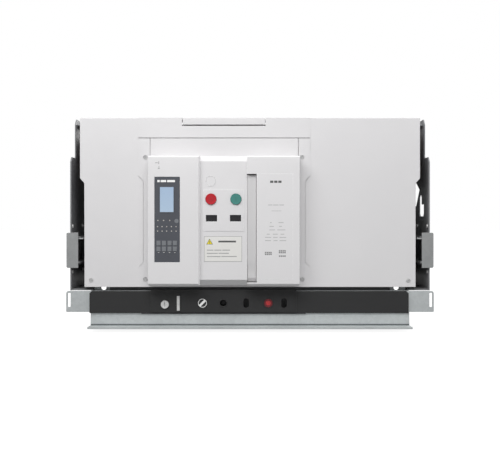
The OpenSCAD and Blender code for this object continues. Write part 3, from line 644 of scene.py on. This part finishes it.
# ------------------------------------------------------------------ Carriage plates, rollers and bracket
# Galvanised plates on both sides of the poles carry steel rollers on stub axles; they run on the rails' tops.
for side in ("left", "right"):
    dress("carriage_plate_" + side, "carriage_side_" + side, 0.0005, 2, "breaker", galvanised,
          "galvanised_steel")
for end, axle in (("front", "front_axle"), ("rear", "rear_axle")):
    dress(end + "_rollers", end + "_roller_pair", 0.0008, 3, axle, oiled_steel, "bright_steel")
for node, name in (("bottom_bracket", "draw_bracket"), ("mechanism_frame", "mechanism_plates")):
    dress(node, name, 0.0005, 2, "breaker", galvanised, "galvanised_steel")

# ------------------------------------------------------------------ Front cover
# One large injection-moulded shell in off-white ABS with a fine spark texture. A shallow raised field runs
# down its middle, waisted beside the fascia; the upper corners overhang the rails and the outer edges are
# rolled over.
white_abs = finish("white_abs", (0.715, 0.705, 0.712), 0.42, mottle=0.05, mottle_scale=4, grain_scale=1300,
                   spread=0.06,
                   bump=0.06, depth=0.00012, worn=(0.80, 0.795, 0.79), wear_highlight_amount=0.3, wear_highlight_width=0.002,
                   dusty=0.10)


def score(obj, points, wide, front, back):
    """Cuts a thin line through the points (x, z), in millimetres."""
    for (x0, z0), (x1, z1) in zip(points, points[1:]):
        long = math.hypot(x1 - x0, z1 - z0)
        knife = block("knife", (-wide / 2, front, -wide / 2), (wide / 2, back, long + wide / 2))
        turned = Matrix.Rotation(math.atan2(x1 - x0, z1 - z0), 4, "Y")
        knife.data.transform(Matrix.Translation((x0 / 1000, 0, z0 / 1000)) @ turned)
        carve(obj, knife)


def cover_rim(at, way):
    """The front edges along the cover's top and its stepped sides."""
    side = abs(at.x)
    in_front = abs(at.y - cover_plane) < 0.00002
    return in_front and (abs(at.z - 0.4555) < 0.0001 or abs(side - 0.364) < 0.0001
                         or (abs(side - 0.3545) < 0.0001 and at.z < 0.32))


cover = from_node("front_cover", "front_cover_shell")
for x, out in ((-228.0, -10.5), (118.0, 10.5)):
    score(cover, ((x + out, 136), (x, 147), (x, 320), (x + out, 331)), 1.2, -181, -176.0)
score(cover, ((-238.5, 412.6), (128.5, 412.6)), 1.7, -181, -175.6)
for x in (-213.5, 103.5):
    score(cover, ((x, 374), (x, 411.5)), 1.7, -181, -175.6)
round_edges(cover, cover_rim, 0.0022, 4)
soften(cover, 0.0003, 2)
settle(cover, "breaker", white_abs, "cover_white", "front_cover")

# ------------------------------------------------------------------ Screws
# Pan-head steel screws, zinc plated, with a cross recess; one is turned and the others are copies.
screw = rod_y("pan_screw", 0, 0, -178.6, -176.2, 4.2, 32)
soften(screw, 0.0009, 3)
carve(screw, block("slot_a", (-2.9, -182, -0.55), (2.9, -177.4, 0.55)),
      block("slot_b", (-0.55, -182, -2.9), (0.55, -177.4, 2.9)))
soften(screw, 0.00012, 1)
screw_places = ((-223.5, 110, 12), (-223.5, 371, 40), (111.5, 110, 63), (111.5, 371, 25), (-340, 108, 8),
                (339, 107, 51))
screws = []
for x, z, turn in screw_places:
    copy = screw.copy()
    copy.data = screw.data.copy()
    bpy.context.collection.objects.link(copy)
    copy.data.transform(Matrix.Translation((x / 1000, 0, z / 1000)) @ Matrix.Rotation(math.radians(turn), 4,
            "Y"))
    screws.append(copy)
bpy.data.objects.remove(screw)
zinc_plate = finish("pale_zinc", (0.60, 0.60, 0.60), 0.45, metallic=0.35, mottle=0.08, grain_scale=700,
                    spread=0.12, bump=0.06,
                    worn=(0.75, 0.75, 0.74), wear_highlight_amount=0.3, dusty=0.05)
settle(gather("cover_screw_set", screws), "breaker", zinc_plate, "bright_steel", "cover_screws")
wells = []
for x, z, turn in screw_places:
    well = rod_y("screw_well", x, z, -179.5 if abs(x) < 300 else -178.3, -176.6, 6.4, 40)
    carve(well, rod_y("hole", x, z, -183, -170, 4.6, 40))
    soften(well, 0.0004, 2)
    wells.append(well)
settle(gather("screw_wells", wells), "breaker", white_abs, "cover_white")

# ------------------------------------------------------------------ Fascia
# A separate moulding of the same plastic, screwed over the cover: three sections side by side, the middle
# one set back, a slot for the charging handle, a cut-out for the trip unit and holes for the buttons and
# windows.
# The fascia's near-white, strong edge colour is a painted highlight along its edges and chamfers.
fascia_abs = finish("fascia_abs", (0.735, 0.725, 0.732), 0.38, mottle=0.04, mottle_scale=5, grain_scale=1300,
                    spread=0.06,
                    bump=0.05, depth=0.00012, worn=(0.95, 0.95, 0.95), wear_highlight_amount=0.9, wear_highlight_width=0.0024,
                    dusty=0.08)
fascia = from_node("fascia", "control_fascia")
round_edges(fascia, lambda at, way: abs(way.x) > 0.9 and at.z > 0.3715 and at.y < -0.19, 0.0018, 3)
soften(fascia, 0.0009, 3)
settle(fascia, "breaker", fascia_abs, "cover_white", "fascia")

# ------------------------------------------------------------------ Terminal block on the top bridge
# A white moulding on the top strap takes the auxiliary wires: its nose fills the notch of the cover, and
# two rows of clamp screws stand on its top.
dress("terminal_block", "auxiliary_terminals", 0.0009, 2, "cradle", white_abs, "cover_white")
clamp_places = [(-137 + i * 8.6, y) for i in range(20) for y in (-92.0, -66.0)]
clamps = []
bpy.ops.object.select_all(action="DESELECT")
bpy.ops.mesh.primitive_cylinder_add(vertices=20, radius=0.0028, depth=0.0012, location=(0, 0, 0))
clamp = bpy.context.object
soften(clamp, 0.0003, 1)
carve(clamp, block("slot", (-2.6, -0.4, 0.1), (2.6, 0.4, 2)))
for x, y in clamp_places:
    copy = clamp.copy()
    copy.data = clamp.data.copy()
    bpy.context.collection.objects.link(copy)
    copy.data.transform(Matrix.Translation((x / 1000, y / 1000, 0.4588)) @ Matrix.Rotation(x, 4, "Z"))
    clamps.append(copy)
bpy.data.objects.remove(clamp)
settle(gather("clamp_screws", clamps), "cradle", nickel, "bright_steel")

# ------------------------------------------------------------------ Trip unit
# A printed dark grey front plate on the trip unit's case: a pale blue display under clear plastic, rows of
# tiny lamps, a test socket, and two rows of membrane keys.
slate = finish("slate_film", (0.078, 0.083, 0.097), 0.42, mottle=0.06, mottle_scale=20, grain_scale=1600,
               spread=0.08, bump=0.04,
               worn=(0.16, 0.17, 0.19), wear_highlight_amount=0.4, dusty=0.05)
face_y = -216.4
panel = block("trip_unit_face", (-200.5, face_y, 148.5), (-147.5, -212.5, 327.5))
press_in(panel, front_face, 0.0011, -0.00035)
soften(panel, 0.0003, 2)
settle(panel, "breaker", slate, "panel_grey", "controller_panel")
bezel = block("display_bezel", (-190.6, face_y - 0.3, 251.8), (-158.9, face_y + 0.6, 307.7))
carve(bezel, block("opening", (-189.0, face_y - 3, 253.5), (-160.5, face_y + 3, 306.0)))
soften(bezel, 0.0002, 2)
settle(bezel, "breaker", slate, "panel_grey")


def display_tint(tree, base):
    spot = place(tree, "TexCoord").outputs["Object"]
    parts = place(tree, "SeparateXYZ", Vector=spot)
    fade = remap(tree, parts.outputs["Z"], 0.2535, 0.306, 0.0, 1.0)
    tint = blend_colour(tree, fade, (base[0] * 1.06, base[1] * 1.05, base[2] * 1.03, 1),
                        (base[0] * 0.93, base[1] * 0.94, base[2] * 0.97, 1))
    cells = place(tree, "TexVoronoi", {"distance": "CHEBYCHEV"}, Vector=spot, Scale=2200.0, Randomness=0.0)
    grid = remap(tree, cells.outputs["Distance"], 0.40, 0.50, 1.0, 0.95)
    return shaded(tree, tint, grid), cells.outputs["Distance"]


display = finish("display_blue", (0.42, 0.545, 0.70), 0.2, mottle=0.02, grain_scale=800, spread=0.03,
                 bump=0.01, dusty=0.0, pattern=display_tint)
display.node_tree.nodes["Principled BSDF"].inputs["Coat Weight"].default_value = 0.4
screen = block("display_window", (-189.0, face_y - 0.5, 253.5), (-160.5, face_y + 0.1, 306.0))
press_in(screen, front_face, 0.0012, 0.0)
soften(screen, 0.0002, 2)
settle(screen, "breaker", display, "screen", "controller_screen")

key_film = finish("key_film", (0.19, 0.20, 0.215), 0.40, mottle=0.06, grain_scale=1500, spread=0.06,
                  bump=0.04, dusty=0.04)
key_columns = (-192.0, -180.7, -168.9, -157.8)
keys = []
for x in key_columns:
    for z in (188.4, 176.2):
        key_pad = block("membrane_key", (x - 4.2, face_y - 0.45, z - 4.9), (x + 4.2, face_y + 0.5, z + 4.9))
        press_in(key_pad, front_face, 0.0009, 0.00025)
        soften(key_pad, 0.00025, 2)
        keys.append(key_pad)
settle(gather("membrane_keys", keys), "breaker", key_film, "panel_grey")
symbols = []
for i, x in enumerate(key_columns):
    if i % 2 == 0:
        symbols.append(block("key_mark", (x - 1.6, face_y - 0.62, 187.9), (x + 1.6, face_y - 0.3, 188.9)))
        symbols.append(block("key_mark", (x - 0.5, face_y - 0.62, 174.6), (x + 0.5, face_y - 0.3, 177.8)))
    else:
        symbols.append(block("key_mark", (x - 0.5, face_y - 0.62, 186.8), (x + 0.5, face_y - 0.3, 190.0)))
        symbols.append(block("key_mark", (x - 1.6, face_y - 0.62, 175.7), (x + 1.6, face_y - 0.3, 176.7)))
    symbols.append(block("key_mark", (x - 1.5, face_y - 0.2, 168.3), (x + 1.5, face_y + 0.2, 169.0)))
for low, high in ((-194.5, -189.5), (-187.5, -176.0), (-174.0, -157.5)):
    symbols.append(block("maker_bar", (low, face_y - 0.2, 316.2), (high, face_y + 0.2, 320.8)))
for part in symbols:
    soften(part, 0.0001, 1)
settle(gather("panel_print", symbols), "breaker", white_print, "cover_white")

lamp_clear = gloss_cap("lamp_lens", (0.62, 0.60, 0.56))
lamps = []
for z, row in ((235.9, (-193.3, -181.3, -168.5)), (223.0, (-193.9, -184.5, -174.8, -164.9, -155.1)),
               (213.6, (-193.9, -184.5, -174.8, -164.9, -155.1))):
    for x in row:
        lens = rod_y("lamp", x, z, face_y - 0.4, face_y + 0.4, 1.15, 20)
        soften(lens, 0.0003, 2)
        lamps.append(lens)
settle(gather("status_lamps", lamps), "breaker", lamp_clear, "cover_white")
port = rod_y("test_socket", -154.2, 234.9, face_y - 0.5, face_y + 0.6, 4.4, 40)
press_in(port, front_face, 0.0011, -0.0004)
soften(port, 0.0002, 2)
settle(port, "breaker", key_film, "panel_grey")

# ------------------------------------------------------------------ Lock plug, buttons and windows
# The middle section holds a blanking plug where a key lock could go, the red and green push buttons and two
# smoked windows. The state flag is behind the right one.
middle_y = -206.0
lock_x, lock_z = -83.0, 319.0
off_x, on_x, button_z = -82.4, -29.7, 281.0
plug = rod_y("lock_plug_cap", lock_x, lock_z, middle_y - 0.6, middle_y + 6, 10.2)
press_in(plug, front_face, 0.0016, -0.0004)
soften(plug, 0.0004, 2)
settle(plug, "breaker", fascia_abs, "cover_white", "lock_plug")
rim = rod_y("plug_rim", lock_x, lock_z, middle_y - 0.5, middle_y + 0.5, 11.6)
carve(rim, rod_y("hole", lock_x, lock_z, middle_y - 3, middle_y + 3, 10.45))
soften(rim, 0.0003, 2)
settle(rim, "breaker", fascia_abs, "cover_white")

control_plate = block("button_plate", (-98.4, middle_y - 0.9, 213.5), (-13.0, middle_y + 0.4, 301.0))
carve(control_plate, rod_y("hole_a", off_x, button_z, middle_y - 4, middle_y + 4, 12.0),
      rod_y("hole_b", on_x, button_z, middle_y - 4, middle_y + 4, 12.0),
      block("hole_c", (-93.1, middle_y - 4, 233.8), (-69.4, middle_y + 4, 247.6)),
      block("hole_d", (-42.3, middle_y - 4, 233.8), (-18.8, middle_y + 4, 247.6)))
soften(control_plate, 0.00035, 2)
settle(control_plate, "breaker", fascia_abs, "cover_white")

green_cap = gloss_cap("green_cap", (0.065, 0.245, 0.215))
big_red_cap = gloss_cap("big_red_cap", (0.50, 0.020, 0.030))
for name, body, x, paint, slot, node in (("off_push", "off", off_x, big_red_cap, "button_red", "off_button"),
                                         ("on_push", "on", on_x, green_cap, "button_green", "on_button")):
    cap = rod_y(name, x, button_z, middle_y - 3.5, middle_y + 12, 11.5, 64)
    press_in(cap, front_face, 0.0015, 0.0)
    press_in(cap, front_middle(x, button_z), 0.0025, -0.0006)
    stem = rod_y("stem", x, button_z, middle_y + 11.5, -172, 4)
    soften(cap, 0.0006, 3)
    soften(stem, 0.0004, 2)
    settle(gather(name, [cap, stem]), body, paint, slot, node)
circle = rod_y("off_mark", off_x, button_z, middle_y - 3.2, middle_y - 2.6, 4.2, 40)
carve(circle, rod_y("hole", off_x, button_z, middle_y - 8, middle_y, 3.4, 40))
soften(circle, 0.0001, 1)
off_print = finish("off_print", (0.30, 0.02, 0.025), 0.4, mottle=0.05, bump=0.03, dusty=0.0)
settle(gather("off_symbol", [circle]), "off", off_print, "button_red")
stroke = block("on_symbol", (-30.2, middle_y - 3.2, 276.6), (-29.2, middle_y - 2.6, 285.4))
soften(stroke, 0.0001, 1)
on_print = finish("on_print", (0.035, 0.14, 0.115), 0.4, mottle=0.05, bump=0.03, dusty=0.0)
settle(stroke, "on", on_print, "button_green")

smoke = gloss_cap("smoked_window", (0.022, 0.021, 0.023), 0.2)
windows = []
for low, high in ((-93.0, -69.5), (-42.2, -18.9)):
    pane = block("window_pane", (low, middle_y - 0.5, 233.9), (high, middle_y + 2.4, 247.5))
    press_in(pane, front_face, 0.0010, -0.0003)
    soften(pane, 0.0003, 2)
    windows.append(pane)
settle(gather("flag_windows", windows), "breaker", smoke, "window_smoke", "indicator_windows")

# ------------------------------------------------------------------ Label plates
# A laminated paper label with a grey rule round it: a yellow warning triangle and grey bars in place of
# words. The right section has a dark title row, faint printed rows and two small square patches.
label_film = finish("label_film", (0.77, 0.762, 0.735), 0.35, mottle=0.05, mottle_scale=30, grain_scale=900,
                    spread=0.06, bump=0.04, dusty=0.04)
rule_grey = finish("rule_grey", (0.36, 0.36, 0.36), 0.5, mottle=0.06, bump=0.03, dusty=0.0)
soft_grey = finish("soft_grey_print", (0.43, 0.425, 0.43), 0.5, mottle=0.06, bump=0.03, dusty=0.0)
patch_grey = finish("patch_grey", (0.22, 0.22, 0.22), 0.5, mottle=0.06, bump=0.03, dusty=0.0)
ink = finish("dark_ink", (0.10, 0.10, 0.10), 0.5, mottle=0.06, bump=0.03, dusty=0.0)
label = block("caution_label", (-96.9, middle_y - 0.22, 149.1), (-16.9, middle_y + 0.2, 202.7))
press_in(label, front_face, 0.0006, 0.0)
soften(label, 0.0001, 1)
settle(label, "breaker", label_film, "cover_white")
rule = block("label_rule", (-96.9, middle_y - 0.3, 149.1), (-16.9, middle_y + 0.1, 202.7))
carve(rule, block("inside", (-96.1, middle_y - 3, 149.9), (-17.7, middle_y + 3, 201.9)))
soften(rule, 0.00008, 1)
settle(rule, "breaker", rule_grey, "cover_white")
bars = []
for low, high, z, tall in ((-91.0, -77.0, 173.4, 1.9), (-75.5, -60.0, 173.4, 1.9), (-58.5, -42.0, 173.4, 1.9),
                           (-91.0, -68.0, 166.7, 1.9),
                           (-66.5, -44.5, 166.7, 1.9), (-91.0, -62.0, 160.0, 1.9), (-60.5, -28.0, 160.0,
                           1.9)):
    row = block("printed_row", (low, middle_y - 0.3, z - tall / 2), (high, middle_y + 0.1, z + tall / 2))
    bars.append(row)
label_rows = gather("label_rows", bars)
soften(label_rows, 0.00012, 1)
settle(label_rows, "breaker", rule_grey, "cover_white")
heading = block("label_heading", (-66.8, middle_y - 0.3, 189.6), (-29.5, middle_y + 0.1, 193.4))
soften(heading, 0.00012, 1)
settle(heading, "breaker", ink, "cover_white")


def triangle(name, x, z, size, front, back):
    """An upright triangle on the front, in millimetres."""
    select_nothing()
    bpy.ops.mesh.primitive_cylinder_add(vertices=3, radius=size / 1000, depth=(back - front) / 1000,
                                        rotation=(math.radians(90), 0, 0))
    obj = bpy.context.object
    obj.name = name
    bpy.ops.object.transform_apply(location=True, rotation=True, scale=True)
    top = max(v.co.z for v in obj.data.vertices)
    if sum(1 for v in obj.data.vertices if v.co.z > top - 1e-5) > 2:
        obj.data.transform(Matrix.Rotation(math.pi, 4, "Y"))
    obj.data.transform(Matrix.Translation((x / 1000, (front + back) / 2000, z / 1000)))
    return obj


outline = triangle("warning_edge", -85.3, 189.4, 8.2, middle_y - 0.34, middle_y + 0.1)
soften(outline, 0.0005, 2)
settle(outline, "breaker", ink, "cover_white")
yellow = finish("warning_yellow", (0.78, 0.66, 0.035), 0.4, mottle=0.05, bump=0.03, dusty=0.0)
filled = triangle("warning_field", -85.3, 189.4, 6.6, middle_y - 0.42, middle_y + 0.1)
soften(filled, 0.0004, 2)
settle(filled, "breaker", yellow, "cover_white")
bolt = block("warning_mark", (-85.9, middle_y - 0.5, 187.6), (-84.7, middle_y + 0.1, 192.8))
soften(bolt, 0.0001, 1)
settle(bolt, "breaker", ink, "cover_white")

right_y = -216.0
film = block("rating_film", (14.8, right_y - 0.10, 112.0), (90.5, right_y + 0.3, 334.5))
soften(film, 0.0001, 1)
settle(film, "breaker", fascia_abs, "cover_white")
rows = []
for z, tall, spans in ((268.4, 1.5, ((38, 47), (48.5, 60), (61.5, 71.5))), (256.0, 0.9, ((45, 66),)),
                       (231.4, 1.4, ((42, 45.5), (60, 70.5))),
                       (223.5, 1.4, ((41, 50), (61, 67))), (216.1, 1.4, ((40.5, 52.5), (57.5, 74))), (207.1,
                       1.4, ((35, 41.5), (48, 58.5), (64, 72))),
                       (200.4, 1.4, ((31.5, 44.5), (48.5, 58), (62, 76))), (193.6, 1.4,
                       ((31.5, 44), (49.5, 58), (62, 76)))):
    for low, high in spans:
        rows.append(block("printed_row", (low, right_y - 0.2, z - tall / 2),
                          (high, right_y + 0.3, z + tall / 2)))
rating_rows = gather("rating_rows", rows)
soften(rating_rows, 0.00012, 1)
settle(rating_rows, "breaker", soft_grey, "cover_white")
head = []
for low, high in ((42.2, 49.0), (50.8, 57.6), (59.4, 66.2)):
    head.append(block("title_bar", (low, right_y - 0.2, 314.8), (high, right_y + 0.3, 319.6)))
patches = []
for x0 in (31.2, 60.6):
    for i in range(4):
        for j in range(4):
            if (i * 3 + j * 5 + (x0 > 50)) % 3:
                low = (x0 + i * 3.8, right_y - 0.2, 159.6 + j * 3.7)
                patches.append(block("patch_square", low, (low[0] + 3.0, right_y + 0.3, low[2] + 3.0)))
for name, parts, paint in (("title_rows", head, ink), ("square_patches", patches, patch_grey)):
    print_set = gather(name, parts)
    soften(print_set, 0.00012, 1)
    settle(print_set, "breaker", paint, "cover_white")
seal_marks = [block("seal_mark", (-199.5, right_y + 0.4, 356.5), (-193.5, right_y + 3, 358.0)),
              block("seal_mark", (-192.5, right_y + 0.4, 354.5), (-190.8, right_y + 3, 360.0)),
              block("seal_mark", (-193.6, right_y + 0.1, 344.2), (-189.4, right_y + 3, 346.6)),
              block("seal_mark", (-191.9, right_y + 0.2, 347.4), (-190.4, right_y + 3, 350.0))]
seals = gather("seal_marks", seal_marks)
soften(seals, 0.0001, 1)
settle(seals, "breaker", soft_grey, "cover_white")

# ------------------------------------------------------------------ Charging handle
# A grey-white lever that fills its slot up to the top; its grey, darker than the fascia's, is painted shade
# of the slot. Its foot turns on a steel pin, and it is pulled forward and down to charge the closing spring.
handle_grey = finish("handle_grey", (0.62, 0.612, 0.616), 0.44, mottle=0.05, grain_scale=1200, spread=0.06,
                     bump=0.06,
                     worn=(0.74, 0.735, 0.73), wear_highlight_amount=0.4, dusty=0.08)
dress("charging_handle", "charging_lever", 0.0014, 3, "handle", handle_grey, "handle_grey")

# ------------------------------------------------------------------ Pieces inside the covers
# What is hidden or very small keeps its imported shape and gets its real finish: black enamelled motor and
# coils, black moulded transformers and plugs, the trip unit's case, steel springs, pins and rivets.
enamel = finish("black_enamel", (0.045, 0.045, 0.048), 0.35, mottle=0.15, grain_scale=400, bump=0.1,
                worn=(0.2, 0.2, 0.2), dusty=0.15)
flag_paint = finish("flag_paint", (0.55, 0.55, 0.53), 0.45, mottle=0.08, bump=0.05, dusty=0.0)
for names, paint in ((("motor_operator", "trip_coils"), enamel),
                     (("current_transformers", "secondary_plug"), black_nylon),
                     (("trip_controller",), slate), (("closing_spring", "finger_springs", "handle_pin",
                     "wall_rivets"), nickel),
                     (("state_flag",), flag_paint)):
    for node in names:
        for place_of_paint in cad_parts[node].material_slots:
            place_of_paint.material = paint
